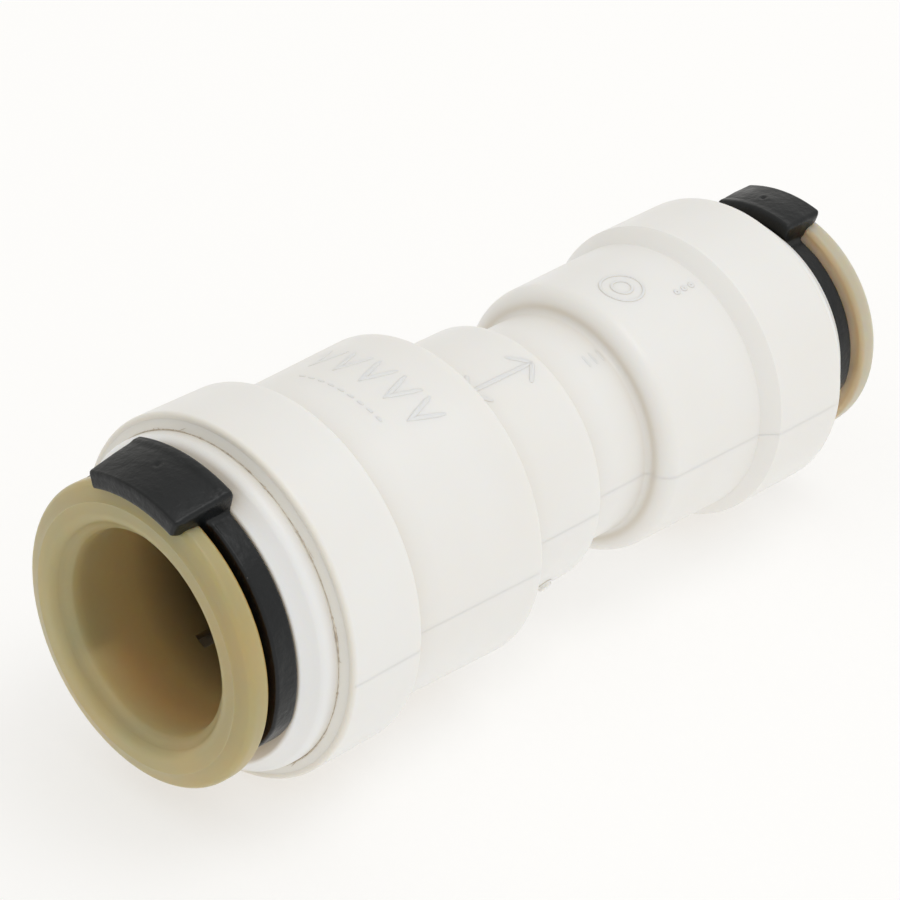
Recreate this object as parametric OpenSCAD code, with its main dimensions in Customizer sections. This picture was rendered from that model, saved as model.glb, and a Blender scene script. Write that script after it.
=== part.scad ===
// Straight reducing push to connect fitting for plastic or copper tube.
// The tubes' common axis is X. The large tube's stop is at X = 0, the large mouth faces +X and the
// small mouth faces -X. The large clip's thumb tab points up, along +Z, and the small clip's one
// leans a few degrees from it.

/* [Tubes] */
// Outside diameter of the large tube
large_tube_d = 22.225; // [21.8:0.005:22.5]
// Outside diameter of the small tube
small_tube_d = 15.875; // [15.4:0.005:16.2]
// Radial gap between a tube and the bores that guide it
tube_gap = 0.1875; // [0.15:0.0125:0.25]
// Diameter of the passage between the two tube stops
passage_d = 12.6; // [8:0.1:13]

/* [Body] */
// Length of the body from mouth to mouth
body_l = 75.5; // [75.5:0.5:80]
// Depth of the large tube's stop below its mouth
large_stop_depth = 37.5; // [36.5:0.5:38.5]
// Depth of the small tube's stop below its mouth
small_stop_depth = 31.5; // [30.5:0.5:32.5]
// Diameter of the band round the large mouth
large_band_d = 38; // [37.6:0.1:39]
// Length of the band round the large mouth
large_band_l = 9.2; // [8.6:0.1:10]
// Diameter of the large barrel beside its band
large_barrel_d = 33.8; // [33.4:0.1:34.4]
// How much wider the large barrel is at its far end
large_barrel_flare = 1; // [0:0.1:1.2]
// Length of the large barrel between the band and the waist
large_barrel_l = 18.4; // [17.6:0.1:19]
// Diameter of the waist, over the large tube's socket
waist_d = 28.1; // [27.4:0.1:29]
// Length of the waist
waist_l = 12.3; // [11.6:0.1:13]
// Diameter of the neck between the waist and the shoulder
neck_d = 24.4; // [23:0.1:25]
// Radius of the rounded shoulder of the small barrel
shoulder_r = 2; // [1.6:0.1:2.4]
// Diameter of the small barrel beside its band
small_barrel_d = 30; // [29.6:0.1:31]
// Length of the small barrel, with its rounded shoulder
small_barrel_l = 14.4; // [14:0.1:15]
// Length of the slope between the small barrel and its band
small_slope_l = 1.8; // [1:0.1:2.4]
// Diameter of the band round the small mouth
small_band_d = 32.9; // [32.4:0.1:34]
// Length of the band round the small mouth
small_band_l = 10.1; // [9.6:0.1:10.4]
// Radius of the rounded outer edges and of the fillets between the sections
edge_r = 0.6; // [0.3:0.1:0.8]

/* [Bonnets] */
// Wall of the body round a bonnet's rim
mouth_wall = 1.6; // [1:0.05:1.6]
// How far a bonnet's rim is let into the mouth
rim_l = 7; // [6:0.1:7.5]
// How far a bonnet's rim stands out of the mouth
rim_lip = 1.45; // [1:0.05:2]
// Height of a bonnet's front face above the mouth
hub_l = 4; // [3.5:0.1:4.5]

/* [Collets] */
// Wall of a collet's tubular part
collet_wall = 1.6; // [1.4:0.05:1.8]
// Radial gap between a collet and its bonnet
collet_gap = 0.2; // [0.15:0.05:0.3]
// Diameter of the large collet's release flange
large_flange_d = 31.4; // [30.5:0.1:32]
// Diameter of the small collet's release flange
small_flange_d = 26.8; // [26:0.1:27.4]
// Thickness of a release flange
flange_l = 2.9; // [2.4:0.1:3.2]
// Depth of a collet's inner end below the mouth
collet_depth = 13.5; // [13:0.1:14]
// How much the finger heads stand out of the tubular part
finger_rise = 1; // [0.8:0.05:1]
// Number of spring fingers, each with one steel tooth
finger_count = 6; // [4:1:8]
// Width of the slots between the fingers
slot_w = 1.6; // [1:0.1:2]
// Travel of a collet when it is pressed in to release the tube
press_travel = 3; // [2.6:0.1:3.2]

/* [Steel teeth] */
// Thickness of the steel
tooth_t = 0.4; // [0.3:0.05:0.5]
// How far a tooth's edge stands off the tube
tooth_gap = 0.04; // [0.02:0.01:0.1]
// Angle round the axis that each tooth covers
tooth_span = 36; // [20:1:38]

/* [Seals] */
// Thickness of a spacer ring
spacer_l = 3; // [2.4:0.1:3]
// Radial width of a seal's pocket round the tube
seal_w = 3.0875; // [3:0.0125:3.2]
// Length of a seal's pocket
seal_pocket_l = 3.65; // [3.4:0.05:3.8]

/* [Locking clips] */
// Thickness of a clip along the axis
clip_l = 3.4; // [3:0.05:3.4]
// Angle round the axis that a clip's arms cover
clip_wrap = 260; // [230:2:270]
// Angle round the axis that the large clip's thumb tab covers
large_tab_span = 44; // [36:2:50]
// Angle round the axis that the small clip's thumb tab covers
small_tab_span = 42; // [28:2:50]
// Turn of the small clip about the axis, which leans its tab away from +Z
small_clip_turn = -4.5; // [-8:0.5:8]
// Height of the large tab's back edge above the release flange
large_tab_rise = 2.5; // [2:0.1:3]
// Height of the small tab's back edge above the release flange
small_tab_rise = 1.4; // [1.3:0.1:3]
// How far the small clip's arms stand below the rim of the release flange
small_arm_drop = 1; // [0:0.1:1.2]
// How far the large clip's tab reaches over the release flange
large_tab_reach = 3.4; // [3:0.1:4]
// How far the small clip's tab reaches over the release flange
small_tab_reach = 2.1; // [1.8:0.1:4]

/* [Hidden] */
$fn = 96;
LARGE = 0;
SMALL = 1;
ENDS = [LARGE, SMALL];
END_NAMES = ["large", "small"];
END_PARTS = ["bonnet", "collet", "o_ring", "spacer_ring", "locking_clip"];

// Clearance between faces that meet inside the body
seat_gap = 0.05;
// Clearance round the finger heads of a collet
head_gap = 0.1;
// Width of the ledge in the body that a spacer ring rests on
spacer_ledge = 0.95;
// Step from a bonnet's rim to its raised hub
hub_step = 1.35;
// How far a cutting tool passes the face that it cuts
over = 1;
// Points in each rounded edge of an outline
arc_steps = 6;

// Places on the X axis
mouth_x = [large_stop_depth, large_stop_depth - body_l];
stop_depth = [large_stop_depth, small_stop_depth];
large_band_x = mouth_x[LARGE] - large_band_l;
waist_x = large_band_x - large_barrel_l;
neck_x = waist_x - waist_l;
small_band_x = mouth_x[SMALL] + small_band_l;
small_slope_x = small_band_x + small_slope_l;
shoulder_x = small_slope_x + small_barrel_l;

// Radii of the two ends, large first
tube_r = [large_tube_d / 2, small_tube_d / 2];
band_r = [large_band_d / 2, small_band_d / 2];
flange_r = [large_flange_d / 2, small_flange_d / 2];
guide_r = [for (r = tube_r) r + tube_gap];
collet_r = [for (r = guide_r) r + collet_wall];
hub_bore_r = [for (r = collet_r) r + collet_gap];
sleeve_bore_r = [for (r = hub_bore_r) r + finger_rise + head_gap];
seal_r = [for (r = tube_r) r + seal_w];
sleeve_r = [for (r = seal_r) r + spacer_ledge];
rim_r = [for (r = band_r) r - mouth_wall];
hub_r = [for (r = rim_r) r - hub_step];

// Depth of a spacer ring's front face, which a pressed collet doesn't reach
spacer_depth = collet_depth + press_travel + 1;

// Heights above a mouth, along its own outward direction
cone_z = -4.6;
cone_l = 4;
slot_front_z = -3.3;
spacer_back_z = -spacer_depth - spacer_l - seat_gap;
seal_back_z = spacer_back_z - seal_pocket_l;
clip_z = hub_l + seat_gap;
flange_z = clip_z + clip_l + seat_gap;
flange_front_z = flange_z + flange_l;

// Rounding of a release flange's inner lip and outer edge
lip_r = 0.9;
flange_edge_r = 0.7;

// The teeth lean inwards, so a tube slides in past them and can't slide out
tooth_root_rise = 1.9;
tooth_lean = 1.6;
tooth_z = -11.6;
tooth_seat_r = 0.6;
tooth_seat_z = -9.6;
tooth_seat_chamfer = 0.4;

// Thumb tabs, large first, and how far their roots are set in from the faces of the arms
tab_span = [large_tab_span, small_tab_span];
tab_reach = [large_tab_reach, small_tab_reach];
tab_rise = [large_tab_rise, small_tab_rise];
arm_r = [flange_r[LARGE], flange_r[SMALL] - small_arm_drop];
tab_inset = 0.1;
clip_turn = [0, small_clip_turn];

// Points of an arc with the given centre, radius and end angles
function arc(c, r, from, to) =
    [for (i = [0 : arc_steps]) let (a = from + (to - from) * i / arc_steps) c + r * [cos(a), sin(a)]];

// Places a shape that faces +Z, with its tab along +X, at one of the mouths
module at_mouth(end) {
    translate([mouth_x[end], 0, 0])
        rotate([0, end == LARGE ? 90 : -90, 0])
            rotate([0, 0, end == LARGE ? 180 : 0]) children();
}

// Outline of the body's outside, as radius and X, from the small mouth to the large one
function body_outline() = concat(
    [[0, mouth_x[SMALL]]],
    arc([band_r[SMALL] - edge_r, mouth_x[SMALL] + edge_r], edge_r, -90, 0),
    [[band_r[SMALL], small_band_x], [small_barrel_d / 2, small_slope_x]],
    arc([small_barrel_d / 2 - shoulder_r, shoulder_x - shoulder_r], shoulder_r, 0, 90),
    [[neck_d / 2, shoulder_x]],
    arc([neck_d / 2 + edge_r, neck_x - edge_r], edge_r, 180, 90),
    arc([waist_d / 2 - edge_r, neck_x + edge_r], edge_r, -90, 0),
    arc([waist_d / 2 + edge_r, waist_x - edge_r], edge_r, 180, 90),
    arc([large_barrel_d / 2 + large_barrel_flare / 2 - edge_r, waist_x + edge_r], edge_r, -90, 0),
    arc([large_barrel_d / 2 + edge_r, large_band_x - edge_r], edge_r, 180, 90),
    arc([band_r[LARGE] - edge_r, large_band_x + edge_r], edge_r, -90, 0),
    arc([band_r[LARGE] - edge_r, mouth_x[LARGE] - edge_r], edge_r, 0, 90),
    [[0, mouth_x[LARGE]]]
);

// A cutting cylinder from the mouth down to the given depth
module bore(r, depth) {
    translate([0, 0, -depth]) cylinder(r = r, h = depth + over);
}

module body() {
    color("whitesmoke") difference() {
        rotate([0, 90, 0]) rotate_extrude() polygon(body_outline());
        for (end = ENDS) at_mouth(end) {
            bore(rim_r[end] + seat_gap, rim_l + seat_gap);
            bore(sleeve_r[end] + seat_gap, -spacer_back_z);
            bore(seal_r[end], -seal_back_z);
            bore(guide_r[end], stop_depth[end]);
        }
        rotate([0, 90, 0]) cylinder(d = passage_d, h = body_l / 2, center = true);
    }
}

// Welded end cap that holds the collet, the spacer ring and the seal in the body
module bonnet(end) {
    shoulder = hub_l - rim_lip - 1.5 * edge_r;
    color("white") at_mouth(end) rotate_extrude() polygon(concat(
        [[hub_bore_r[end], hub_l]],
        arc([hub_r[end] - edge_r, hub_l - edge_r], edge_r, 90, 20),
        arc([rim_r[end] - shoulder, rim_lip], shoulder, 50, 0),
        [
            [rim_r[end], -rim_l],
            [sleeve_r[end], -rim_l],
            [sleeve_r[end], seat_gap - spacer_depth],
            [sleeve_bore_r[end], seat_gap - spacer_depth],
            [sleeve_bore_r[end], cone_z - cone_l],
            [hub_bore_r[end], cone_z]
        ]
    ));
}

// Outline of a collet's outside and bore, before its slots are cut
function collet_outline(end) =
    let (b = guide_r[end], c = collet_r[end], f = flange_r[end], h = c + finger_rise)
    concat(
        [[b, flange_front_z - 2 * lip_r]],
        arc([b + 1.5 * lip_r, flange_front_z - lip_r], lip_r, 160, 90),
        [[f - 2 * lip_r, flange_front_z - lip_r / 8]],
        arc([f - flange_edge_r, flange_front_z - 2 * flange_edge_r], flange_edge_r, 60, 0),
        [
            [f - flange_edge_r / 3, flange_z],
            [c, flange_z],
            [c, cone_z - 1],
            [h, cone_z - 1 - cone_l * finger_rise],
            [h, 1.2 - collet_depth],
            [h - 0.8, -collet_depth],
            [b + tooth_seat_r, -collet_depth],
            [b + tooth_seat_r, tooth_seat_z],
            [b, tooth_seat_z + tooth_seat_chamfer]
        ]
    );

// Section of one tooth, from its edge at the tube to its root in the finger
function tooth_outline(end, grow) =
    let (r = tube_r[end] + tooth_gap)
    [
        [r, tooth_z - grow],
        [r + tooth_root_rise, tooth_z + tooth_lean - grow],
        [r + tooth_root_rise + grow, tooth_z + tooth_lean + tooth_t + grow],
        [r, tooth_z + tooth_t + grow]
    ];

// The steel of tooth number i, made grow larger all round to cut its seat
module tooth_shape(end, i, grow) {
    span = tooth_span + 4 * grow;
    rotate([0, 0, i * 360 / finger_count - span / 2])
        rotate_extrude(angle = span) polygon(tooth_outline(end, grow));
}

// Release collet: a flange, a tube and a ring of spring fingers with cone heads
module collet(end) {
    color("darkkhaki") at_mouth(end) difference() {
        rotate_extrude() polygon(collet_outline(end));
        for (i = [1 : finger_count]) {
            rotate([0, 0, (i - 0.5) * 360 / finger_count])
                translate([0, -slot_w / 2, -collet_depth - over])
                    cube([band_r[end], slot_w, slot_front_z + collet_depth + over]);
            tooth_shape(end, i, seat_gap);
        }
    }
}

module tooth(end, i) {
    color("lightgray") at_mouth(end) tooth_shape(end, i, 0);
}

// The seal is drawn squeezed between its pocket and the tube
module o_ring(end) {
    thickness = (seal_w - seat_gap) / 2;
    color("dimgray") at_mouth(end)
        translate([0, 0, spacer_back_z - seal_pocket_l / 2])
            rotate_extrude() translate([tube_r[end] + thickness, 0]) circle(r = thickness);
}

module spacer_ring(end) {
    color("gainsboro") at_mouth(end) translate([0, 0, -spacer_depth - spacer_l]) difference() {
        cylinder(r = sleeve_r[end], h = spacer_l);
        translate([0, 0, -over]) cylinder(r = guide_r[end] + 0.25, h = spacer_l + 2 * over);
    }
}

// Horseshoe that snaps over the collet between the bonnet and the release flange
module clip_arms(end) {
    inner = hub_bore_r[end];
    outer = arm_r[end] + 0.05;
    tip = clip_wrap / 2;
    far = 2 * outer;
    translate([0, 0, clip_z]) linear_extrude(clip_l) difference() {
        circle(r = outer);
        circle(r = inner);
        polygon([[0, 0], far * [cos(tip), sin(tip)], [-far, 0], far * [cos(tip), -sin(tip)]]);
        for (side = [-1, 1])
            rotate(side * (tip - 10)) translate([outer, 0])
                rotate(side * 22) translate([0, side > 0 ? 0 : -outer]) square(outer);
    }
}

// Thumb tab that stands on the arms and reaches over the release flange
module clip_tab(end) {
    f = flange_r[end];
    root = arm_r[end] - 0.6;
    back_z = clip_z + tab_inset;
    neck_z = clip_z + clip_l - tab_inset;
    front_z = flange_z + tab_reach[end];
    rotate([0, 0, -tab_span[end] / 2]) rotate_extrude(angle = tab_span[end]) polygon([
        [root, back_z],
        [f + tab_rise[end] - 0.4, back_z],
        [f + tab_rise[end], back_z + 0.4],
        [f + 1.6, front_z - 0.9],
        [f + 1.2, front_z - 0.2],
        [f + 0.8, front_z],
        [f + 0.4, front_z - 0.3],
        [f + 0.35, neck_z],
        [root, neck_z]
    ]);
}

module locking_clip(end) {
    color("#26292d") at_mouth(end) rotate(clip_turn[end]) {
        clip_arms(end);
        clip_tab(end);
    }
}

body();
bonnet(LARGE);  // large_bonnet
bonnet(SMALL);  // small_bonnet
collet(LARGE);  // large_collet
collet(SMALL);  // small_collet
o_ring(LARGE);  // large_o_ring
o_ring(SMALL);  // small_o_ring
spacer_ring(LARGE);  // large_spacer_ring
spacer_ring(SMALL);  // small_spacer_ring
locking_clip(LARGE);  // large_locking_clip
locking_clip(SMALL);  // small_locking_clip
for (i = [1 : finger_count]) {
    tooth(LARGE, i);
    tooth(SMALL, i);
}
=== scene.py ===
"""Looks of the reducing push to connect fitting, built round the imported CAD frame.

The tubes' axis is X, with the large mouth at +X and the thumb tabs up, along +Z. Lengths are in metres.
An outline is a list of (radius, height) pairs. A height is measured along the axis, outward from a mouth,
except on the body, where it is the place on X. Angles round the axis are from +Z towards +Y.
"""
import math
import random

import bmesh
import bpy
from mathutils import Matrix, Vector, noise


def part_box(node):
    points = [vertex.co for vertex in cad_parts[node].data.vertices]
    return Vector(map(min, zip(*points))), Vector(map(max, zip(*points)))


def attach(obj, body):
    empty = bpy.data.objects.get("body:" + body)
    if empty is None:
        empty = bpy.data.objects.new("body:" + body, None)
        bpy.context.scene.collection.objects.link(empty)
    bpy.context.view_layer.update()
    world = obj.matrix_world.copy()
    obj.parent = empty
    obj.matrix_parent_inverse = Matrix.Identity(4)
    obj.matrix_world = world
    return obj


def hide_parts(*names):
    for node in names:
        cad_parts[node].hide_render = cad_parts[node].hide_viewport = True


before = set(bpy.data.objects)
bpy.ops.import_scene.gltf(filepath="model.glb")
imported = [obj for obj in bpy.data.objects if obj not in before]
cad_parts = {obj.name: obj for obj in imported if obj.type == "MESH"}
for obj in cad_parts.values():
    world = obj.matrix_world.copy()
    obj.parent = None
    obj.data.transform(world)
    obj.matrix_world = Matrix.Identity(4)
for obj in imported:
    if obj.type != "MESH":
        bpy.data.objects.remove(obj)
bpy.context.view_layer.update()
MM = 0.001
TAU = 2 * math.pi

# ---------------------------------------------------------------- dimensions


def outer_radius(node):
    """Half of a round node's width across Y."""
    low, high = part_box(node)
    return (high.y - low.y) / 2


ENDS = ("large", "small")
BODY = "housing"
BODY_LOW, BODY_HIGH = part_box("body")
MOUTH_X = {"large": BODY_HIGH.x, "small": BODY_LOW.x}
OUTWARD = {"large": 1, "small": -1}

# Radii
RIDGE_H = 0.04 * MM
BAND_R = {"large": outer_radius("body") - RIDGE_H, "small": 16.45 * MM}
FLANGE_R = {end: outer_radius(f"{end}_collet") for end in ENDS}
RIM_R = {end: outer_radius(f"{end}_bonnet") for end in ENDS}
WELD_R = {end: RIM_R[end] - 0.08 * MM for end in ENDS}
SLEEVE_R = {end: outer_radius(f"{end}_spacer_ring") for end in ENDS}
SEAL_R = {end: outer_radius(f"{end}_o_ring") + 0.05 * MM for end in ENDS}
GUIDE_R = {"large": 11.3 * MM, "small": 8.125 * MM}
TUBE_R = {end: GUIDE_R[end] - 0.1875 * MM for end in ENDS}
COLLET_R = {end: GUIDE_R[end] + 1.6 * MM for end in ENDS}
HEAD_R = {end: COLLET_R[end] + 1 * MM for end in ENDS}
HEAD_GAP = 0.3 * MM
HUB_BORE_R = {end: COLLET_R[end] + 0.2 * MM for end in ENDS}
PASSAGE_R = 6.3 * MM
LARGE_BARREL_R = (16.9 * MM, 17.4 * MM)
WAIST_R = 14.05 * MM
NECK_R = 12.2 * MM
SMALL_BARREL_R = (14.8 * MM, 15.0 * MM)

# Places on X where the body's outer sections end, from the large mouth to the small one
BAND_END_X = 28.3 * MM
BARREL_END_X = 9.9 * MM
WAIST_END_X = -2.4 * MM
NECK_END_X = -11.6 * MM
SLOPE_X = (-26.1 * MM, -27.9 * MM)

# Heights above a mouth
SEAT_GAP = 0.05 * MM
HUB_L = 4 * MM
CLIP_BACK = HUB_L + SEAT_GAP
CLIP_FRONT = CLIP_BACK + 3.4 * MM
FLANGE_BACK = CLIP_FRONT + SEAT_GAP
FLANGE_FRONT = FLANGE_BACK + 2.9 * MM
SLOT_TOP = -3.3 * MM
CONE_TOP = -4.6 * MM
CONE_END = -8.6 * MM
RIM_DEPTH = -7 * MM
COLLET_END = -13.5 * MM
SLEEVE_END = -17.45 * MM
SPACER_FRONT = -17.5 * MM
SPACER_L = 3 * MM
POCKET_BACK = -20.55 * MM
SEAL_BACK = -24.2 * MM
STOP = {"large": -37.5 * MM, "small": -31.5 * MM}

# Collet fingers and their teeth
FINGERS = 6
SLOT_W = 1.6 * MM
TOOTH_Z = -11.6 * MM
TOOTH_RISE = 1.9 * MM
TOOTH_LEAN = 1.6 * MM
TOOTH_T = 0.4 * MM
TOOTH_HALF = math.radians(18)

# Locking clips
CLIP_HALF = math.radians(130)
CLIP_TAPER = math.radians(104)
TAB_HALF = {"large": math.radians(22), "small": math.radians(21)}
CLIP_TURN = {"large": 0, "small": math.radians(-4.5)}
TAB_RISE = {"large": 2.5 * MM, "small": 1.4 * MM}
ARM_R = {"large": FLANGE_R["large"] + 0.05 * MM, "small": FLANGE_R["small"] - 0.95 * MM}
TAB_FRONT = {
    "large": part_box("large_locking_clip")[1].x - MOUTH_X["large"],
    "small": MOUTH_X["small"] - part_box("small_locking_clip")[0].x,
}

# ---------------------------------------------------------------- outlines


def arc(centre, radius, start, end, steps=8):
    """Points of an arc in an outline, with angles in degrees from the radial direction."""
    points = []
    for i in range(steps + 1):
        angle = math.radians(start + (end - start) * i / steps)
        points.append((centre[0] + radius * math.cos(angle), centre[1] + radius * math.sin(angle)))
    return points


def spaced(outline, longest, closed=True):
    """The outline with its long sides cut into shorter ones, so that the mesh stays even."""
    result = []
    count = len(outline) if closed else len(outline) - 1
    for i in range(count):
        a, b = Vector(outline[i]), Vector(outline[(i + 1) % len(outline)])
        pieces = max(1, math.ceil((b - a).length / longest))
        result += [tuple(a.lerp(b, k / pieces)) for k in range(pieces)]
    if not closed:
        result.append(outline[-1])
    return result


def resampled(outline, count):
    """An open outline as count points, evenly spaced along it."""
    points = [Vector(p) for p in outline]
    lengths = [0.0]
    for a, b in zip(points, points[1:]):
        lengths.append(lengths[-1] + (b - a).length)
    result = []
    side = 0
    for k in range(count):
        wanted = lengths[-1] * k / (count - 1)
        while side < len(points) - 2 and lengths[side + 1] < wanted:
            side += 1
        share = (wanted - lengths[side]) / (lengths[side + 1] - lengths[side])
        result.append(tuple(points[side].lerp(points[side + 1], min(1, share))))
    return result


def inner_fillet(radius, x, size):
    """Hollow corner where a wide section's end face meets a narrower section beyond it."""
    return arc((radius + size, x - size), size, 90, 180)


def outer_round(radius, x, size):
    """Rounded edge of a wide section whose end face looks towards the small mouth."""
    return arc((radius - size, x + size), size, 0, -90)


def body_outside():
    """Outside of the body from the large mouth to the small one."""
    step, rim, foot, shoulder = 0.5 * MM, 0.45 * MM, 0.7 * MM, 1.9 * MM
    return (
        arc((BAND_R["large"] - rim, MOUTH_X["large"] - rim), rim, 90, 0)
        + outer_round(BAND_R["large"] - 0.06 * MM, BAND_END_X, step)
        + inner_fillet(LARGE_BARREL_R[0], BAND_END_X, step)
        + outer_round(LARGE_BARREL_R[1], BARREL_END_X, step)
        + inner_fillet(WAIST_R, BARREL_END_X, step)
        + outer_round(WAIST_R, WAIST_END_X, step)
        + inner_fillet(NECK_R, WAIST_END_X, step)
        + arc((NECK_R + foot, NECK_END_X + foot), foot, 180, 270)
        + arc((SMALL_BARREL_R[0] - shoulder, NECK_END_X - shoulder), shoulder, 90, 0, 12)
        + [(SMALL_BARREL_R[1], SLOPE_X[0]), (BAND_R["small"] - 0.05 * MM, SLOPE_X[1])]
        + outer_round(BAND_R["small"], MOUTH_X["small"], rim)
    )


def body_inside():
    """Bores of the body from the small mouth to the large one."""
    points = []
    for end in reversed(ENDS):
        place = at_mouth(end)
        rim = RIM_R[end] + SEAT_GAP
        sleeve = SLEEVE_R[end] + SEAT_GAP
        mouth_cut, seat_cut = 0.1 * MM, 0.3 * MM
        side = [
            (rim + mouth_cut, place(0)),
            (rim, place(-mouth_cut)),
            (rim, place(RIM_DEPTH - SEAT_GAP)),
            (sleeve, place(RIM_DEPTH - SEAT_GAP)),
            (sleeve, place(POCKET_BACK)),
            (SEAL_R[end], place(POCKET_BACK)),
            (SEAL_R[end], place(SEAL_BACK)),
            (GUIDE_R[end] + seat_cut, place(SEAL_BACK)),
            (GUIDE_R[end], place(SEAL_BACK - seat_cut)),
            (GUIDE_R[end], place(STOP[end])),
            (PASSAGE_R, place(STOP[end])),
        ]
        points += side if end == "small" else side[::-1]
    return points


def bonnet_outline(end):
    """Section of a bonnet."""
    rim, hub_bore = RIM_R[end], HUB_BORE_R[end]
    hub = rim - 1.5 * MM
    lip, edge, step, cut = 0.25 * MM, 0.5 * MM, 1.65 * MM, 0.3 * MM
    return (
        arc((hub_bore + lip, HUB_L - lip), lip, 180, 90, 5)
        + arc((hub - edge, HUB_L - edge), edge, 90, 15, 8)
        + arc((WELD_R[end] - step, 1.3 * MM), step, 50, 0, 10)
        + [
            (WELD_R[end], 0),
            (rim, 0),
            (rim, RIM_DEPTH),
            (SLEEVE_R[end], RIM_DEPTH),
            (SLEEVE_R[end], SLEEVE_END + cut),
            (SLEEVE_R[end] - cut, SLEEVE_END),
            (HEAD_R[end] + HEAD_GAP, SLEEVE_END),
            (HEAD_R[end] + HEAD_GAP, CONE_END),
            (hub_bore, CONE_TOP),
        ]
    )


def collet_outline(end):
    """Section of a collet, before its slots are cut."""
    bore, flange, head = GUIDE_R[end], FLANGE_R[end], HEAD_R[end]
    ridge = bore + 0.57 * (flange - bore)
    lip, rim, back, root = 1.5 * MM, 0.85 * MM, 0.65 * MM, 0.2 * MM
    throat = 1.75 * lip
    return (
        arc((bore + lip + 0.25 * MM, FLANGE_FRONT - throat), throat, 180, 154, 4)
        + arc((bore + lip, FLANGE_FRONT - lip), lip, 150, 88, 12)
        + [
            (ridge - 0.08 * MM, FLANGE_FRONT - 0.02 * MM),
            (ridge, FLANGE_FRONT),
            (ridge + 0.1 * MM, FLANGE_FRONT - 0.1 * MM),
        ]
        + arc((flange - rim, FLANGE_FRONT - 0.45 * MM - rim), rim, 70, 0, 10)
        + arc((flange - back, FLANGE_BACK + back), back, 0, -90, 8)
        + arc((COLLET_R[end] + root, FLANGE_BACK - root), root, 90, 180, 4)
        + [
            (COLLET_R[end], CONE_TOP - 1 * MM),
            (head, CONE_TOP - 5 * MM),
            (head, COLLET_END + 1.2 * MM),
            (head - 0.8 * MM, COLLET_END),
            (bore + 0.6 * MM, COLLET_END),
            (bore + 0.6 * MM, -9.6 * MM),
            (bore, -9.2 * MM),
        ]
    )


def seal_outline(end):
    """Section of a seal: a round cord with the thin seam that its mould leaves."""
    cord = (SEAL_R[end] - TUBE_R[end]) / 2
    centre = (TUBE_R[end] + cord, (POCKET_BACK + SEAL_BACK) / 2)
    points = arc(centre, cord - 0.05 * MM, 4, 356, 40)
    return points + [(centre[0] + cord, centre[1])]


def spacer_outline(end):
    """Section of a spacer ring with a chamfer on each edge."""
    inner, outer, cut = GUIDE_R[end] + 0.25 * MM, SLEEVE_R[end], 0.3 * MM
    back, front = SPACER_FRONT - SPACER_L, SPACER_FRONT
    return [
        (inner + cut, front), (inner, front - cut), (inner, back + cut), (inner + cut, back),
        (outer - cut, back), (outer, back + cut), (outer, front - cut), (outer - cut, front),
    ]


def tooth_outline(end, angle):
    """Section of a tooth, whose edge is ground sharp in the middle of its span."""
    edge_r = TUBE_R[end] + 0.04 * MM
    along = Vector((TOOTH_RISE, TOOTH_LEAN)).normalized()
    across = Vector((-along.y, along.x)) * TOOTH_T * 0.6
    root = Vector((edge_r + TOOTH_RISE, TOOTH_Z + TOOTH_LEAN))
    tip = Vector((edge_r, TOOTH_Z))
    fade = 0.25 * MM * (angle / TOOTH_HALF) ** 4
    tip += along * fade
    return [tuple(p) for p in (
        tip, tip.lerp(root, 0.5), root - along * 0.1 * MM, root + across * 0.3,
        root + across * 0.7, root + across - along * 0.1 * MM, tip.lerp(root, 0.5) + across,
        tip + across + along * 0.25 * MM)]


# ---------------------------------------------------------------- clip sections

CORNER_STEPS = 9
TOP_STEPS = 22
NOSE_STEPS = 30


def arm_parts(end):
    """Back corner, outer face and front corner of an arm's section."""
    outer = ARM_R[end]
    edge, rebate, depth = 0.35 * MM, 0.65 * MM, 1.5 * MM
    back = arc((outer - edge, CLIP_BACK + edge), edge, -90, 0, CORNER_STEPS - 1)
    front = (
        arc((outer - edge, CLIP_FRONT - rebate - edge), edge, 0, 90, 8)
        + arc((outer - depth + 0.15 * MM, CLIP_FRONT - rebate + 0.15 * MM), 0.15 * MM, 270, 180, 3)
        + [(outer - depth, CLIP_FRONT)]
    )
    face = [back[-1], front[0]]
    return back, resampled(face, TOP_STEPS), resampled(front, NOSE_STEPS)


def tab_parts(end):
    """The same three parts of the section through a thumb tab, with as many points."""
    flange = FLANGE_R[end]
    top, front_top = flange + TAB_RISE[end], flange + 1.5 * MM
    border_step = 0.16 * (top - front_top)
    nose_low = flange + (-0.35 if TAB_FRONT[end] > FLANGE_FRONT else 0.33) * MM
    edge, lip, chin = 0.45 * MM, 0.3 * MM, 0.3 * MM
    border = 0.75 * MM
    wall = [(ARM_R[end] - 0.4 * MM, CLIP_BACK)]
    back = wall + arc((top - edge, CLIP_BACK + edge), edge, -90, 0, CORNER_STEPS - 2)
    deck = [
        back[-1],
        (top - 0.02 * MM, CLIP_BACK + edge + border),
        (top - border_step, CLIP_BACK + edge + border + 0.15 * MM),
        ((top + front_top) / 2 + 0.05 * MM, (CLIP_BACK + TAB_FRONT[end]) / 2),
        (front_top, TAB_FRONT[end] - lip),
    ]
    under = flange + 0.33 * MM
    front = (
        arc((front_top - lip, TAB_FRONT[end] - lip), lip, 5, 85, 8)
        + arc((nose_low + chin, TAB_FRONT[end] - chin), chin, 95, 200, 8)
        + [(under, TAB_FRONT[end] - 1.1 * MM), (under, CLIP_FRONT + 0.25 * MM)]
        + arc((under - 0.25 * MM, CLIP_FRONT + 0.25 * MM), 0.25 * MM, 0, -90, 4)
        + [(ARM_R[end] - 1.15 * MM, CLIP_FRONT)]
    )
    return back, resampled(deck, TOP_STEPS), resampled(front, NOSE_STEPS)


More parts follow.
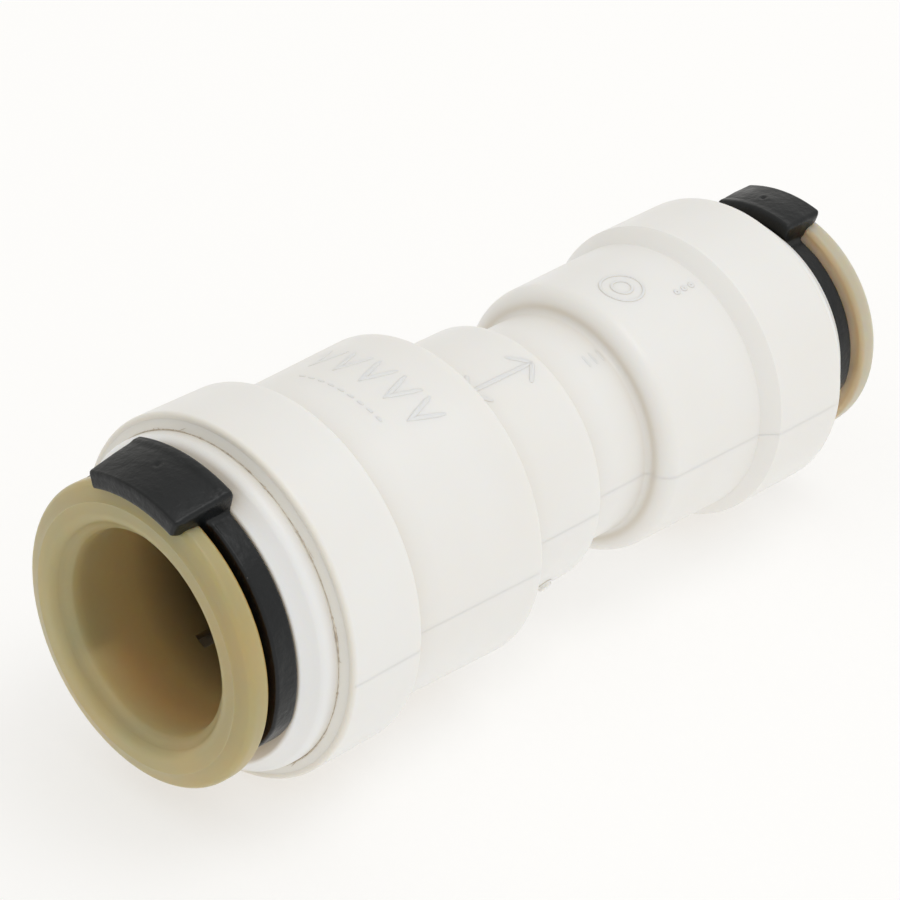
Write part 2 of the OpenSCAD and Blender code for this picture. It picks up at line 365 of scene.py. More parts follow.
def tab_share(end, angle):
    """How much of the tab a section has: 1 on the tab, 0 on the arms, steep and rounded between."""
    half = TAB_HALF[end]
    radius = FLANGE_R[end] + 2 * MM
    edge, wall, foot = 0.55 * MM / radius, 0.22 * MM / radius, 0.75 * MM / radius
    shoulder, base = 0.76, 0.2
    past = abs(angle) - (half - edge - wall)
    if past <= 0:
        return 1
    if past <= edge:
        return shoulder + (1 - shoulder) * math.sqrt(1 - (past / edge) ** 2)
    if past <= edge + wall:
        return shoulder + (base - shoulder) * (past - edge) / wall
    rest = min(1, (past - edge - wall) / foot)
    return base * (1 - math.sqrt(1 - (1 - rest) ** 2))


def clip_outline(end, angle):
    """Section of a clip at an angle from the top."""
    inner, edge = HUB_BORE_R[end], 0.3 * MM
    share = tab_share(end, angle)
    points = []
    for arm, tab in zip(arm_parts(end), tab_parts(end)):
        points += [tuple(Vector(a).lerp(Vector(b), share)) for a, b in zip(arm, tab)]
    points += arc((inner + edge, CLIP_FRONT - edge), edge, 90, 180, 4)
    points += arc((inner + edge, CLIP_BACK + edge), edge, 180, 270, 4)
    thin = max(0, (abs(angle) - CLIP_TAPER) / (CLIP_HALF - CLIP_TAPER))
    points = [(inner + (r - inner) * (1 - 0.6 * thin ** 1.3), z) for r, z in points]
    round_l = 0.7 * MM / COLLET_R[end]
    past = max(0, 1 - (CLIP_HALF - abs(angle)) / round_l)
    if past > 0:
        middle = Vector((sum(p[0] for p in points), sum(p[1] for p in points))) / len(points)
        scale = 0.62 + 0.38 * math.sqrt(max(0, 1 - past ** 2))
        points = [tuple(middle.lerp(Vector(p), scale)) for p in points]
    return points


def clip_angles(end):
    """Angles of a clip's sections, close together where its shape changes."""
    half = TAB_HALF[end]
    stops = [
        (0, half - math.radians(3), 0.7), (half - math.radians(3), half + math.radians(3), 0.16),
        (half + math.radians(3), CLIP_HALF - math.radians(4), 1.5),
        (CLIP_HALF - math.radians(4), CLIP_HALF, 0.25),
    ]
    angles = []
    for start, end_angle, step in stops:
        count = math.ceil(math.degrees(end_angle - start) / step)
        angles += [start + (end_angle - start) * k / count for k in range(count)]
    angles.append(CLIP_HALF)
    return [-a for a in reversed(angles[1:])] + angles


# ---------------------------------------------------------------- mesh helpers


def add_object(name, mesh):
    """Puts a mesh in the scene as an object of its own."""
    piece = bpy.data.objects.new(name, mesh)
    bpy.context.scene.collection.objects.link(piece)
    return piece


def finish_mesh(bm, name, sharp_degrees=32):
    """Makes a smooth-shaded object from a bmesh, with its sharp edges kept."""
    bmesh.ops.recalc_face_normals(bm, faces=bm.faces)
    mesh = bpy.data.meshes.new(name)
    bm.to_mesh(mesh)
    bm.free()
    piece = add_object(name, mesh)
    smooth(piece, sharp_degrees)
    return piece


def smooth(piece, sharp_degrees):
    """Shades a piece smoothly, except over edges sharper than an angle."""
    piece.data.shade_smooth()
    piece.data.set_sharp_from_angle(angle=math.radians(sharp_degrees))


def on_axis(x, radius, angle):
    """A point round the X axis, with its angle from the top towards +Y."""
    return Vector((x, radius * math.sin(angle), radius * math.cos(angle)))


def at_mouth(end):
    """Turns a height above an end's mouth into a place on the X axis."""
    return lambda height: MOUTH_X[end] + OUTWARD[end] * height


def bridge(bm, rings, closed):
    """Faces between each ring of points and the next."""
    count = len(rings[0])
    turns = len(rings) if closed else len(rings) - 1
    for k in range(turns):
        here, there = rings[k], rings[(k + 1) % len(rings)]
        for i in range(count):
            j = (i + 1) % count
            bm.faces.new((here[i], here[j], there[j], there[i]))


def cap(bm, ring):
    """Closes an end with a fan of triangles."""
    middle = bm.verts.new(sum((v.co for v in ring), Vector()) / len(ring))
    for i, v in enumerate(ring):
        bm.faces.new((v, ring[(i + 1) % len(ring)], middle))


def tube(bm, rings):
    """A closed solid through a row of rings, with a cap on each end."""
    bridge(bm, rings, False)
    cap(bm, rings[0])
    cap(bm, rings[-1])


def revolved(outline, place, segments=240):
    """A closed solid of revolution about X. place gives x from an outline's height."""
    bm = bmesh.new()
    rings = []
    for k in range(segments):
        angle = TAU * k / segments
        rings.append([bm.verts.new(on_axis(place(z), r, angle)) for r, z in outline])
    bridge(bm, rings, True)
    return bm


def swept(angles, outline_at, place, relief=None, turn=0):
    """A closed solid swept round X through the section that each angle has, then turned."""
    bm = bmesh.new()
    rings = []
    for angle in angles:
        ring = []
        for r, z in outline_at(angle):
            rise = relief(r, z, angle) if relief else 0
            ring.append(bm.verts.new(on_axis(place(z), r + rise, angle + turn)))
        rings.append(ring)
    tube(bm, rings)
    return bm


def apply_modifiers(piece):
    """Replaces a piece's mesh with its evaluated one, and drops the modifiers."""
    graph = bpy.context.evaluated_depsgraph_get()
    mesh = bpy.data.meshes.new_from_object(piece.evaluated_get(graph))
    piece.modifiers.clear()
    piece.data = mesh


# ---------------------------------------------------------------- turned and swept pieces


def make_body():
    """White shell with both stepped bores."""
    outline = spaced(body_outside() + body_inside(), 1.0 * MM)
    return finish_mesh(revolved(outline, lambda x: x, 360), "body_shell")


def make_bonnet(end):
    """End cap with the hub that shows and the cone inside."""
    outline = spaced(bonnet_outline(end), 1.2 * MM)
    return finish_mesh(revolved(outline, at_mouth(end), 300), f"{end}_end_cap")


def slot_cutters(end):
    """Slots between the fingers."""
    bm = bmesh.new()
    bottom, reach = COLLET_END - 1 * MM, FLANGE_R[end]
    for k in range(FINGERS):
        turn = Matrix.Rotation(TAU * (k + 0.5) / FINGERS, 4, "X")
        box = bmesh.ops.create_cube(bm, size=1)["verts"]
        scale = Matrix.Diagonal((SLOT_TOP - bottom, SLOT_W, reach / 2, 1))
        move = Matrix.Translation((at_mouth(end)((bottom + SLOT_TOP) / 2), 0, 0.75 * reach))
        bmesh.ops.transform(bm, verts=box, matrix=turn @ move @ scale)
    mesh = bpy.data.meshes.new("cutter")
    bm.to_mesh(mesh)
    bm.free()
    return add_object("cutter", mesh)


def make_collet(end):
    """Release collet, turned and then slotted."""
    outline = spaced(collet_outline(end), 1.0 * MM)
    collet = finish_mesh(revolved(outline, at_mouth(end), 300), f"{end}_release_collet")
    cutter = slot_cutters(end)
    cut = collet.modifiers.new("slots", "BOOLEAN")
    cut.operation = "DIFFERENCE"
    cut.solver = "EXACT"
    cut.use_self = True
    cut.object = cutter
    apply_modifiers(collet)
    bpy.data.objects.remove(cutter)
    smooth(collet, 32)
    return collet


def pin_mark(end):
    """Small dimple with a raised lip that the ejector pin left on the deck of a tab."""
    deck_r = FLANGE_R[end] + 1.9 * MM
    height = CLIP_BACK + 0.45 * (TAB_FRONT[end] - CLIP_BACK)

    def relief(r, z, angle):
        if r < FLANGE_R[end] + 1.2 * MM:
            return 0
        away = math.hypot(z - height, deck_r * (angle + math.radians(2))) / MM
        dimple = -0.2 * math.exp(-(away / 0.26) ** 2)
        lip = 0.035 * math.exp(-((away - 0.55) / 0.2) ** 2)
        return (dimple + lip) * MM
    return relief


def make_clip(end):
    """Locking clip, with its arms and thumb tab in one sweep."""
    bm = swept(
        clip_angles(end), lambda angle: clip_outline(end, angle), at_mouth(end), pin_mark(end),
        CLIP_TURN[end])
    return finish_mesh(bm, f"{end}_locking_clip_moulding", 40)


def make_seal(end):
    """Seal in its pocket."""
    return finish_mesh(revolved(seal_outline(end), at_mouth(end), 180), f"{end}_seal")


def make_spacer(end):
    """Ring that holds the seal in its pocket."""
    outline = spaced(spacer_outline(end), 1.0 * MM)
    return finish_mesh(revolved(outline, at_mouth(end), 180), f"{end}_seal_spacer")


def make_tooth(end, number):
    """Gripping tooth, at the angle of its CAD node."""
    low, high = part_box(f"{end}_tooth_{number}")
    middle = (low + high) / 2
    centre = math.atan2(middle.y, middle.z)
    angles = [centre + TOOTH_HALF * (k / 12 - 1) for k in range(25)]
    bm = swept(angles, lambda a: tooth_outline(end, a - centre), at_mouth(end))
    return finish_mesh(bm, f"{end}_grip_tooth_{number}")


# ---------------------------------------------------------------- marks on the body


def surface_radius(x):
    """Radius of the body's outer sections at a place on X."""
    if x > BAND_END_X:
        return BAND_R["large"]
    if x > BARREL_END_X:
        share = (BAND_END_X - x) / (BAND_END_X - BARREL_END_X)
        return LARGE_BARREL_R[0] + share * (LARGE_BARREL_R[1] - LARGE_BARREL_R[0])
    if x > WAIST_END_X:
        return WAIST_R
    if x > NECK_END_X:
        return NECK_R
    if x > SLOPE_X[0]:
        share = (NECK_END_X - x) / (NECK_END_X - SLOPE_X[0])
        return SMALL_BARREL_R[0] + share * (SMALL_BARREL_R[1] - SMALL_BARREL_R[0])
    return BAND_R["small"] - 0.03 * MM


def raised_stroke(bm, path, width, height, closed=False):
    """A rounded ridge on the body along a path of (x, degrees from the top) points."""
    radius = surface_radius(path[0][0])
    flat = [Vector((x, radius * math.radians(a))) for x, a in path]
    count = len(flat)
    rings = []
    for i, point in enumerate(flat):
        before = flat[i - 1] if closed or i else point
        after = flat[(i + 1) % count] if closed or i < count - 1 else point
        forward = (after - before).normalized()
        side = Vector((-forward.y, forward.x))
        stretch = 1
        if closed or 0 < i < count - 1:
            bend = (point - before).normalized().dot(forward)
            stretch = 1 / max(0.5, bend)
        ends = not closed and i in (0, count - 1)
        shrink = 0.55 if ends else 1
        ring = []
        for k in range(9):
            across = math.cos(math.pi * k / 8) * width / 2 * shrink * stretch
            rise = math.sin(math.pi * k / 8) * height * shrink
            spot = point + side * across
            surface = surface_radius(spot.x)
            ring.append(bm.verts.new(on_axis(spot.x, surface + rise, spot.y / surface)))
        for across in (-1, 1):
            spot = point + side * (across * width / 2 * shrink * stretch)
            surface = surface_radius(spot.x)
            ring.append(bm.verts.new(on_axis(spot.x, surface - 0.15 * MM, spot.y / surface)))
        rings.append(ring)
    if closed:
        bridge(bm, rings, True)
    else:
        tube(bm, rings)


def stroke_line(start, end, steps=6):
    """Points of a straight stroke between two (x, degrees) points."""
    return [tuple(Vector(start).lerp(Vector(end), k / steps)) for k in range(steps + 1)]


def circle_path(x, degrees, radius, steps=40):
    """Points of a ring drawn on the body round an (x, degrees) point."""
    surface = surface_radius(x)
    return [
        (x + radius * math.cos(TAU * k / steps),
         degrees + math.degrees(radius * math.sin(TAU * k / steps) / surface))
        for k in range(steps)]


def make_marks():
    """Generic moulded marks: chevrons, dashes, a two-way arrow, a ring and dots."""
    bm = bmesh.new()
    bold, fine, height = 0.55 * MM, 0.32 * MM, 0.07 * MM
    for k in range(5):
        centre = -23 + 11.5 * k
        tip, tails = 18.8 * MM, 15.0 * MM
        path = stroke_line((tails, centre - 4), (tip, centre), 5)
        path += stroke_line((tip, centre), (tails, centre + 4), 5)[1:]
        raised_stroke(bm, path, bold, height)
    for k in range(9):
        centre = -18 + 4.5 * k
        dash = stroke_line((21.6 * MM, centre - 1.3), (21.6 * MM, centre + 1.3))
        raised_stroke(bm, dash, fine, height / 2)
    arrow, arrow_angle = (-1.2 * MM, 8.3 * MM), 18
    shaft = stroke_line((arrow[0], arrow_angle), (arrow[1], arrow_angle))
    raised_stroke(bm, shaft, bold, height)
    for tip, back in ((arrow[0], 1), (arrow[1], -1)):
        for side in (-8, 8):
            start = (tip + back * 2.0 * MM, arrow_angle + side)
            raised_stroke(bm, stroke_line(start, (tip, arrow_angle)), bold, height)
    for ring_r in (2.3 * MM, 1.1 * MM):
        raised_stroke(bm, circle_path(-17.7 * MM, 6, ring_r), fine, height, True)
    for k in range(3):
        dot_x, bar_x = (-22.4 - 1.1 * k) * MM, (-8.6 - 1.0 * k) * MM
        raised_stroke(bm, circle_path(dot_x, 20, 0.22 * MM, 12), fine, height, True)
        raised_stroke(bm, stroke_line((bar_x, 22), (bar_x, 29)), fine, height / 2)
    return finish_mesh(bm, "body_marks", 50)


def make_parting_lines():
    """Thin ridges where the two halves of the mould met, one on each side of the body."""
    bm = bmesh.new()
    outline = spaced(body_outside(), 1.5 * MM, closed=False)[4:-4]
    half_width, height, root = 0.06 * MM, 0.008 * MM, -0.1 * MM
    spots = [Vector(spot) for spot in outline]
    for side in (-1, 1):
        middle = side * math.radians(91)
        rings = []
        for before, spot, after in zip(spots, spots[1:], spots[2:]):
            along = (after - before).normalized()
            normal = Vector((-along.y, along.x))
            spread = half_width / spot.x
            section = [(-spread, root), (-spread, 0), (0, height), (spread, 0), (spread, root)]
            ring = []
            for turn, rise in section:
                r, x = spot + normal * rise
                ring.append(bm.verts.new(on_axis(x, r, middle + turn)))
            rings.append(ring)
        tube(bm, rings)
    return finish_mesh(bm, "parting_lines")


def make_gate_nub():
    """Stub left where the moulding was cut from its runner."""
    bm = bmesh.new()
    out = on_axis(0, 1, math.radians(126))
    turn = out.to_track_quat("Z", "Y").to_matrix()
    base = Vector((2.5 * MM, 0, 0)) + out * (WAIST_R - 0.3 * MM)
    rings = []
    for r, height in ((1.0, 0), (0.95, 0.36), (0.8, 0.46), (0.7, 0.7), (0.55, 0.8)):
        ring = []
        for k in range(28):
            wobble = 1 + 0.06 * noise.noise(Vector((k * 0.9, height * 3, 5)))
            angle = TAU * k / 28
            spot = Vector((r * wobble * math.cos(angle), r * wobble * math.sin(angle), height)) * MM
            ring.append(bm.verts.new(base + turn @ spot))
        rings.append(ring)
    tube(bm, rings)
    return finish_mesh(bm, "gate_nub")


def make_weld_fillet(end):
    """Plastic that the weld pushed up between the mouth's face and the bonnet."""
    profile = [(-0.1, -0.1), (-0.1, 0.3), (0.02, 0.42), (0.22, 0.36), (0.5, 0.2), (0.95, 0.03), (1.1, -0.1)]
    outline = [(WELD_R[end] + out * MM, height * MM) for out, height in profile]
    return finish_mesh(revolved(outline, at_mouth(end), 300), f"{end}_weld_fillet", 60)


def make_weld_flash(end):
    """Thin ragged thread along the top of the weld, with a stray hair of plastic here and there."""
    bm = bmesh.new()
    place = at_mouth(end)
    segments = 900
    seed = 0.3 if end == "large" else 0.8
    rings = []
    for k in range(segments):
        angle = TAU * k / segments
        spot = Vector((math.cos(angle), math.sin(angle), seed))
        wave = noise.noise(spot * 5) + 0.5 * noise.noise(spot * 45)
        ragged = max(0, noise.noise(spot * 70 + Vector((9, 0, 0))))
        width = (0.055 + 0.04 * max(0, wave) + 0.2 * ragged ** 2) * MM
        seam = WELD_R[end] + (0.05 + 0.05 * wave) * MM
        low, high = 0.3 * MM, (0.48 + 0.08 * max(0, wave) + 0.2 * ragged ** 2) * MM
        section = [
            (seam - width, low), (seam - 0.8 * width, high - 0.04 * MM), (seam, high),
            (seam + 0.8 * width, high - 0.04 * MM), (seam + width, low)]
        rings.append([bm.verts.new(on_axis(place(z), r, angle)) for r, z in section])
    bridge(bm, rings, True)
    add_hairs(bm, end, random.Random(7 if end == "large" else 11))
    return finish_mesh(bm, f"{end}_weld_flash", 60)


def add_hairs(bm, end, rng):
    """Short curled threads that lie against the weld."""
    place = at_mouth(end)
    for _ in range(16):
        angle, radius = rng.uniform(-math.pi, math.pi), WELD_R[end] + rng.uniform(0, 0.3) * MM
        turn, length, thick = rng.uniform(-1.2, 1.2), rng.uniform(0.6, 1.8) * MM, 0.035 * MM
        rings = []
        for k in range(7):
            along = length * k / 6
            here = angle + along * math.cos(turn) / radius
            out = radius + along * math.sin(turn) * 0.5
            height = 0.4 * MM + 0.1 * MM * math.sin(math.pi * k / 6)
            fat = thick * (1 - 0.6 * abs(k / 3 - 1))
            rings.append([
                bm.verts.new(on_axis(place(height + fat * math.sin(a)), out + fat * math.cos(a), here))
                for a in (0, TAU / 4, TAU / 2, 3 * TAU / 4)])
        tube(bm, rings)


# ---------------------------------------------------------------- materials


class Finish:
    """A material and short calls for the nodes that the finishes share. Scales are per metre."""

    def __init__(self, name):
        self.material = bpy.data.materials.new(name)
        self.material.use_nodes = True
        self.tree = self.material.node_tree
        self.shader = self.tree.nodes["Principled BSDF"]
        self.place = self.add("ShaderNodeTexCoord").outputs["Object"]

    def add(self, kind, inputs=None, **settings):
        node = self.tree.nodes.new(kind)
        for key, value in settings.items():
            setattr(node, key, value)
        for key, value in (inputs or {}).items():
            self.put(node.inputs[key], value)
        return node

    def put(self, socket, value):
        """Links a socket to another node's output, or gives it a constant."""
        if isinstance(value, bpy.types.NodeSocket):
            self.tree.links.new(value, socket)
        else:
            socket.default_value = value

    def set(self, **values):
        """Sets the shader's own sockets, with _ for each space in their names."""
        for key, value in values.items():
            self.put(self.shader.inputs[key.replace("_", " ")], value)

    def noise(self, scale, detail=2, stretch=(1, 1, 1), rough=0.5):
        place = self.add("ShaderNodeMapping", {"Vector": self.place, "Scale": stretch}).outputs[0]
        return self.add("ShaderNodeTexNoise", {
            "Vector": place, "Scale": scale, "Detail": detail, "Roughness": rough}).outputs["Fac"]

    def spread(self, value, low, high, to_low=0.0, to_high=1.0):
        """Stretches the part of a value between low and high over a new range, clamped."""
        return self.add("ShaderNodeMapRange", {
            "Value": value, "From Min": low, "From Max": high, "To Min": to_low, "To Max": to_high,
        }).outputs["Result"]

    def along(self):
        """Place on X."""
        return self.add("ShaderNodeSeparateXYZ", {"Vector": self.place}).outputs["X"]

    def radius(self):
        """Distance from the tubes' axis."""
        flat = self.add("ShaderNodeVectorMath", {0: self.place, 1: (0, 1, 1)}, operation="MULTIPLY")
        return self.add(
            "ShaderNodeVectorMath", {0: flat.outputs["Vector"]}, operation="LENGTH").outputs["Value"]

    def math(self, operation, a, b):
        node = self.add("ShaderNodeMath", operation=operation)
        self.put(node.inputs[0], a)
        self.put(node.inputs[1], b)
        return node.outputs[0]

    def mix(self, share, a, b):
        node = self.add("ShaderNodeMix", data_type="RGBA")
        sockets = {"Factor_Float": share, "A_Color": a, "B_Color": b}
        for socket in node.inputs:
            if socket.identifier in sockets:
                value = sockets[socket.identifier]
                self.put(socket, (*value, 1) if isinstance(value, tuple) else value)
        return next(s for s in node.outputs if s.identifier == "Result_Color")

    def specks(self, scale, size, share):
        """1 on small scattered specks, 0 elsewhere. size and share are parts of a cell and of the cells."""
        cells = self.add("ShaderNodeTexVoronoi", {"Vector": self.place, "Scale": scale})
        near = self.spread(cells.outputs["Distance"], size * 0.6, size, 1.0, 0.0)
        pick = self.add("ShaderNodeSeparateColor", {"Color": cells.outputs["Color"]}).outputs[0]
        return self.math("MULTIPLY", near, self.math("GREATER_THAN", pick, 1 - share))

    def bumps(self, *layers):
        """Stacks (height, distance in millimetres) layers of relief on the shader's normal."""
        normal = None
        for height, distance in layers:
            inputs = {"Height": height, "Distance": distance * MM, "Strength": 1.0}
            if normal:
                inputs["Normal"] = normal
            normal = self.add("ShaderNodeBump", inputs).outputs["Normal"]
        self.set(Normal=normal)


def white_plastic(name, base, warm, seed_stretch):
    """Satin moulded plastic with flow marks and specks, painted warm shade in its corners and hollows, and
    warmer round the mouths.
    """
    f = Finish(name)
    cast = f.spread(f.noise(45, 3, seed_stretch), 0.35, 0.7)
    colour = f.mix(cast, base, warm)
    streaks = f.spread(f.noise(160, 4, (0.25, 1, 1), 0.6), 0.5, 0.8, 0.0, 0.35)
    colour = f.mix(streaks, colour, tuple(0.985 * c for c in base))
    x = f.along()
    # Painted shade: warm brown mixed in where the AO node finds nearby surfaces, darkening corners, creases
    # and hollows.
    closed = f.add("ShaderNodeAmbientOcclusion", {"Distance": 4.5 * MM}, samples=8).outputs["AO"]
    colour = f.mix(f.spread(closed, 0.5, 0.92, 0.85, 0.0), colour, (0.62, 0.54, 0.42))
    for end in ENDS:
        place_on_x = at_mouth(end)
        face = f.spread(x, place_on_x(-0.5 * MM), place_on_x(-0.05 * MM))
        rim = f.math("MULTIPLY", face, f.spread(x, place_on_x(0.8 * MM), place_on_x(0.6 * MM)))
        colour = f.mix(rim, colour, (0.81, 0.775, 0.70))
    colour = f.mix(f.specks(210, 0.035, 0.22), colour, (0.42, 0.36, 0.28))
    rough = f.spread(f.noise(220, 4), 0.3, 0.7, 0.30, 0.42)
    f.set(Base_Color=colour, Roughness=rough, Subsurface_Weight=0.25,
          Subsurface_Radius=(1.0, 0.8, 0.55), Subsurface_Scale=1.2 * MM)
    f.bumps((f.noise(330, 2), 0.018), (f.noise(1500, 3), 0.006), (f.noise(7000, 2), 0.0018))
    return f.material


def collet_plastic(end, amber, green, deep, painted_edge_glow):
    """Cloudy translucent plastic that deepens down the bore, with painted shade that turns it almost black
    inside the bonnet and a painted amber glow of light along the flange's back edge.
    """
    f = Finish(f"{end}_collet_plastic")
    colour = f.mix(f.spread(f.noise(90, 2), 0.25, 0.75), amber, green)
    x = f.along()
    place_on_x = at_mouth(end)
    colour = f.mix(f.spread(x, place_on_x(9.6 * MM), place_on_x(2 * MM)), colour, deep)
    # Painted shade: the bore fades almost to black where it runs inside the bonnet, out of the light.
    painted_bore_shade = tuple(0.05 * c for c in deep)
    colour = f.mix(f.spread(x, place_on_x(1 * MM), place_on_x(-8 * MM)), colour, painted_bore_shade)
    # Painted light: an amber glow along the flange's back edge, where light shines through its rim beside
    # the clip.
    glow = f.math("MULTIPLY", f.spread(x, place_on_x(8 * MM), place_on_x(7.7 * MM)),
                  f.spread(f.radius(), FLANGE_R[end] - 1.2 * MM, FLANGE_R[end] - 0.7 * MM))
    colour = f.mix(glow, colour, painted_edge_glow)
    colour = f.mix(f.specks(260, 0.04, 0.2), colour, (0.20, 0.14, 0.07))
    rough = f.spread(f.noise(300, 3), 0.3, 0.7, 0.30, 0.40)
    f.set(Base_Color=colour, Roughness=rough, Subsurface_Weight=1.0,
          Subsurface_Radius=(1.0, 0.72, 0.36), Subsurface_Scale=4 * MM, IOR=1.48,
          Transmission_Weight=0.36)
    f.bumps((f.noise(420, 2), 0.012), (f.noise(2600, 3), 0.003))
    return f.material


def clip_plastic():
    """Black plastic with a satin sheen, a leathery moulded grain, scuffs and dust."""
    f = Finish("clip_plastic")
    dull = f.spread(f.noise(140, 4, rough=0.6), 0.35, 0.7)
    colour = f.mix(dull, (0.0012, 0.0020, 0.0024), (0.004, 0.0055, 0.0062))
    scuffs = f.spread(f.noise(900, 5, (1, 0.3, 0.3), 0.7), 0.62, 0.78, 0.0, 0.3)
    colour = f.mix(scuffs, colour, (0.06, 0.066, 0.07))
    colour = f.mix(f.specks(700, 0.05, 0.15), colour, (0.07, 0.066, 0.06))
    rough = f.spread(f.noise(380, 4), 0.3, 0.7, 0.28, 0.38)
    f.set(Base_Color=colour, Roughness=rough, Specular_IOR_Level=0.34)
    f.bumps((f.noise(420, 3), 0.13), (f.noise(1500, 4), 0.06), (f.noise(7000, 2), 0.006))
    return f.material


def flash_plastic():
    """Thin weld bead, scorched a little and dusty."""
    f = Finish("flash_plastic")
    dust = f.spread(f.noise(1800, 3), 0.35, 0.65)
    f.set(Base_Color=f.mix(dust, (0.66, 0.60, 0.50), (0.42, 0.34, 0.25)), Roughness=0.5)
    f.bumps((f.noise(4000, 3), 0.01),)
    return f.material


def seal_rubber():
    """Matt rubber with a fine grain and a trace of grease."""
    f = Finish("seal_rubber")
    colour = f.mix(f.noise(300, 3), (0.010, 0.010, 0.011), (0.022, 0.022, 0.024))
    rough = f.spread(f.noise(500, 3), 0.35, 0.65, 0.38, 0.7)
    f.set(Base_Color=colour, Roughness=rough)
    f.bumps((f.noise(5000, 3), 0.006),)
    return f.material


def spacer_plastic():
    """Natural matt plastic."""
    f = Finish("spacer_plastic")
    colour = f.mix(f.noise(250, 3), (0.70, 0.68, 0.62), (0.76, 0.74, 0.69))
    f.set(Base_Color=colour, Roughness=f.spread(f.noise(700, 3), 0.3, 0.7, 0.45, 0.6),
          Subsurface_Weight=0.2, Subsurface_Radius=(1.0, 0.8, 0.6), Subsurface_Scale=1 * MM)
    f.bumps((f.noise(2500, 3), 0.005),)
    return f.material


def tooth_steel():
    """Stamped stainless steel with the fine lines of the rolled strip."""
    f = Finish("tooth_steel")
    lines = f.noise(900, 4, (0.05, 1, 1), 0.7)
    colour = f.mix(lines, (0.52, 0.52, 0.54), (0.68, 0.68, 0.69))
    f.set(Base_Color=colour, Metallic=1.0, Roughness=f.spread(lines, 0.3, 0.7, 0.2, 0.38))
    f.bumps((lines, 0.004), (f.noise(6000, 2), 0.001))
    return f.material


MATERIALS = {
    "body": white_plastic("body_plastic", (0.845, 0.838, 0.815), (0.83, 0.812, 0.775), (1, 1, 1)),
    "bonnet": white_plastic("bonnet_plastic", (0.84, 0.845, 0.845), (0.835, 0.833, 0.815), (1, 1.3, 0.8)),
    # Each collet's last colour paints the glow of light along its flange's back edge.
    "large_collet": collet_plastic(
        "large", (0.60, 0.49, 0.23), (0.51, 0.485, 0.27), (0.82, 0.60, 0.27), (0.80, 0.42, 0.08)),
    "small_collet": collet_plastic(
        "small", (0.74, 0.69, 0.56), (0.72, 0.69, 0.58), (0.62, 0.47, 0.24), (0.70, 0.56, 0.36)),
    "flash": flash_plastic(),
    "clip": clip_plastic(),
    "seal": seal_rubber(),
    "spacer": spacer_plastic(),
    "tooth": tooth_steel(),
}

# ---------------------------------------------------------------- placing


def place(piece, body, slot, material, *nodes):
    """Rides a piece on a body, gives it its finish, and hides the CAD nodes that it stands for. The slot is
    not used.
    """
    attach(piece, body)
    if nodes:
        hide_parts(*nodes)
    piece.data.materials.clear()
    piece.data.materials.append(MATERIALS[material])


place(make_body(), BODY, "body_plastic", "body", "body")
place(make_marks(), BODY, "body_plastic", "body")
place(make_parting_lines(), BODY, "body_plastic", "body")
place(make_gate_nub(), BODY, "body_plastic", "body")
for end in ENDS:
    collet_body = f"{end}_collet_assembly"
    place(make_bonnet(end), BODY, "bonnet_plastic", "bonnet", f"{end}_bonnet")
    place(make_weld_fillet(end), BODY, "body_plastic", "body")
    place(make_weld_flash(end), BODY, "body_plastic", "flash")
    place(make_collet(end), collet_body, "collet_plastic", f"{end}_collet", f"{end}_collet")
    place(make_clip(end), f"{end}_clip", "clip_plastic", "clip", f"{end}_locking_clip")
    place(make_seal(end), BODY, "seal_rubber", "seal", f"{end}_o_ring")
    place(make_spacer(end), BODY, "spacer_plastic", "spacer", f"{end}_spacer_ring")
    for number in range(1, FINGERS + 1):
        place(make_tooth(end, number), collet_body, "tooth_steel", "tooth", f"{end}_tooth_{number}")

# ---------------------------------------------------------------- camera, floor and light

VIEW_AZIMUTH = math.radians(42.015)
VIEW_ELEVATION = math.radians(31.80)
VIEW_ROLL = math.radians(3.81)
VIEW_DISTANCE = 330 * MM
VIEW_AIM = Vector((20.26, 13.42, 16.06)) * MM
LENS_MM = 140
SENSOR_MM = 36


def make_camera():
    """Camera at the photograph's viewing angle."""
    data = bpy.data.cameras.new("camera")
    data.lens = LENS_MM
    data.sensor_width = SENSOR_MM
    data.clip_start = 0.01
    camera = bpy.data.objects.new("camera", data)
    bpy.context.scene.collection.objects.link(camera)
    flat = math.cos(VIEW_ELEVATION)
    back = Vector((
        flat * math.cos(VIEW_AZIMUTH), flat * math.sin(VIEW_AZIMUTH), math.sin(VIEW_ELEVATION)))
    turn = back.to_track_quat("Z", "Y").to_matrix().to_4x4()
    roll = Matrix.Rotation(VIEW_ROLL, 4, "Z")
    camera.matrix_world = Matrix.Translation(VIEW_AIM + back * VIEW_DISTANCE) @ turn @ roll
    bpy.context.scene.camera = camera


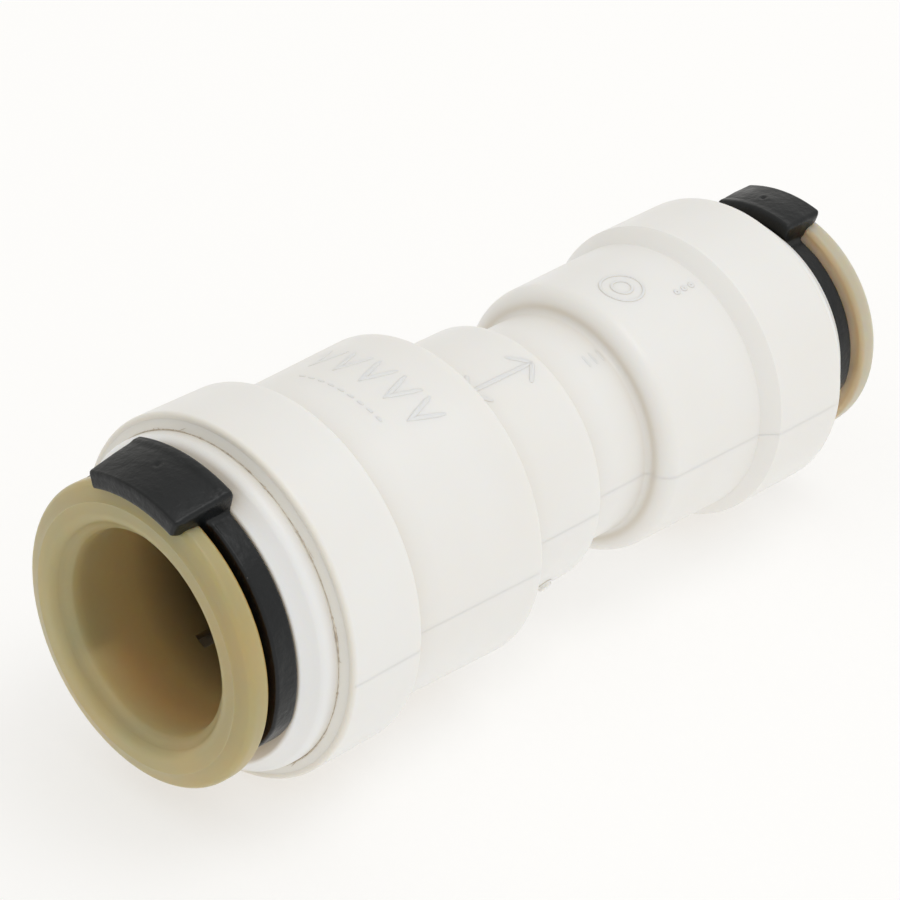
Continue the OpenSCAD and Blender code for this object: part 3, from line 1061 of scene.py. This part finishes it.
def make_floor():
    """Pale floor with a glow of its own, like a lit table, which keeps the shadow on it faint."""
    bm = bmesh.new()
    bmesh.ops.create_grid(bm, x_segments=1, y_segments=1, size=3)
    floor = finish_mesh(bm, "floor")
    floor.location.z = BODY_LOW.z
    f = Finish("floor")
    f.set(Base_Color=(0.45, 0.45, 0.45, 1), Roughness=0.95, Specular_IOR_Level=0.1,
          Emission_Color=(1, 0.99, 0.97, 1), Emission_Strength=0.56)
    floor.data.materials.append(f.material)


def make_lamp(name, location, size, power):
    """Round softbox that looks at the origin."""
    data = bpy.data.lights.new(name, "AREA")
    data.shape = "DISK"
    data.size = size
    data.energy = power
    lamp = bpy.data.objects.new(name, data)
    bpy.context.scene.collection.objects.link(lamp)
    lamp.location = location
    lamp.rotation_euler = Vector(location).to_track_quat("Z", "Y").to_euler()


def make_world(bright_side, low, high):
    """White surround, brighter and cooler on one side, as a studio is round its largest softbox."""
    world = bpy.data.worlds.new("world")
    bpy.context.scene.world = world
    world.use_nodes = True
    tree = world.node_tree
    back = tree.nodes["Background"]
    coords = tree.nodes.new("ShaderNodeTexCoord")
    facing = tree.nodes.new("ShaderNodeVectorMath")
    facing.operation = "DOT_PRODUCT"
    facing.inputs[1].default_value = Vector(bright_side).normalized()
    tree.links.new(coords.outputs["Generated"], facing.inputs[0])
    share = tree.nodes.new("ShaderNodeMapRange")
    share.inputs["From Min"].default_value = -1
    tree.links.new(facing.outputs["Value"], share.inputs["Value"])
    blend = tree.nodes.new("ShaderNodeMix")
    blend.data_type = "RGBA"
    blend.inputs[6].default_value = (*low, 1)
    blend.inputs[7].default_value = (*high, 1)
    tree.links.new(share.outputs["Result"], blend.inputs[0])
    tree.links.new(blend.outputs[2], back.inputs["Color"])


make_camera()
make_floor()
make_world((-0.35, 0.8, 0.5), (0.66, 0.64, 0.60), (0.90, 0.90, 0.895))
make_lamp("overhead", (-0.2, 0.25, 0.9), 0.5, 1.4)
bpy.context.scene.view_settings.view_transform = "Standard"
